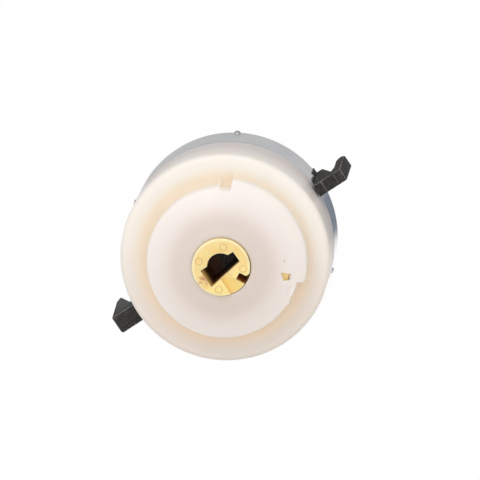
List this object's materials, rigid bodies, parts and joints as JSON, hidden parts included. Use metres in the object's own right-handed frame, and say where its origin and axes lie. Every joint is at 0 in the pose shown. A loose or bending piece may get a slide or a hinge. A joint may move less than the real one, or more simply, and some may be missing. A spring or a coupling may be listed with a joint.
{
  "type": "ignition switch",
  "caption": "Round ignition switch with a stepped white housing, a slotted yellow rotor, a grey steel band, black release arms and a blade connector at the rear.",
  "frame": {"origin": "centre of the connector shroud's mouth, in the plane of the rim that the switch stands on", "axes": "+Z along the switch axis, out of the front face that meets the lock; +X towards the narrow release arm"},
  "size_m": [0.0525, 0.039, 0.0539],
  "materials": {
    "natural_nylon": "satin, slightly translucent",
    "yellow_plastic": "satin",
    "black_plastic": "fine grain",
    "band_steel": "bright plated",
    "carrier_plastic": "dull",
    "contact_copper": "bright",
    "tinned_brass": "tin plated",
    "spring_steel": "drawn wire"
  },
  "bodies": {
    "housing": {"front_cover": "natural_nylon", "shell_band": "band_steel", "rear_base": "black_plastic", "thrust_washer": "spring_steel", "detent_spring_near": "spring_steel", "detent_spring_far": "spring_steel", "feed_terminal_accessory": "tinned_brass", "feed_terminal_run": "tinned_brass", "feed_terminal_start": "tinned_brass", "accessory_terminal": "tinned_brass", "run_terminal": "tinned_brass", "start_terminal": "tinned_brass", "key_lamp_terminal": "tinned_brass", "parking_terminal": "tinned_brass"},
    "turning_group": {"rotor": "yellow_plastic", "contact_carrier": "carrier_plastic", "return_spring": "spring_steel", "bridge_contact_1": "contact_copper", "bridge_contact_2": "contact_copper", "bridge_contact_3": "contact_copper", "contact_spring_1": "spring_steel", "contact_spring_2": "spring_steel", "contact_spring_3": "spring_steel"}
  },
  "joints": [
    {"name": "rotor_turn", "type": "hinge", "parent": "housing", "child": "turning_group", "pos_m": [0, 0, 0.04], "axis": [0, 0, -1], "range_deg": [0, 90], "deforming": ["return_spring", "detent_spring_near", "detent_spring_far"]}
  ]
}
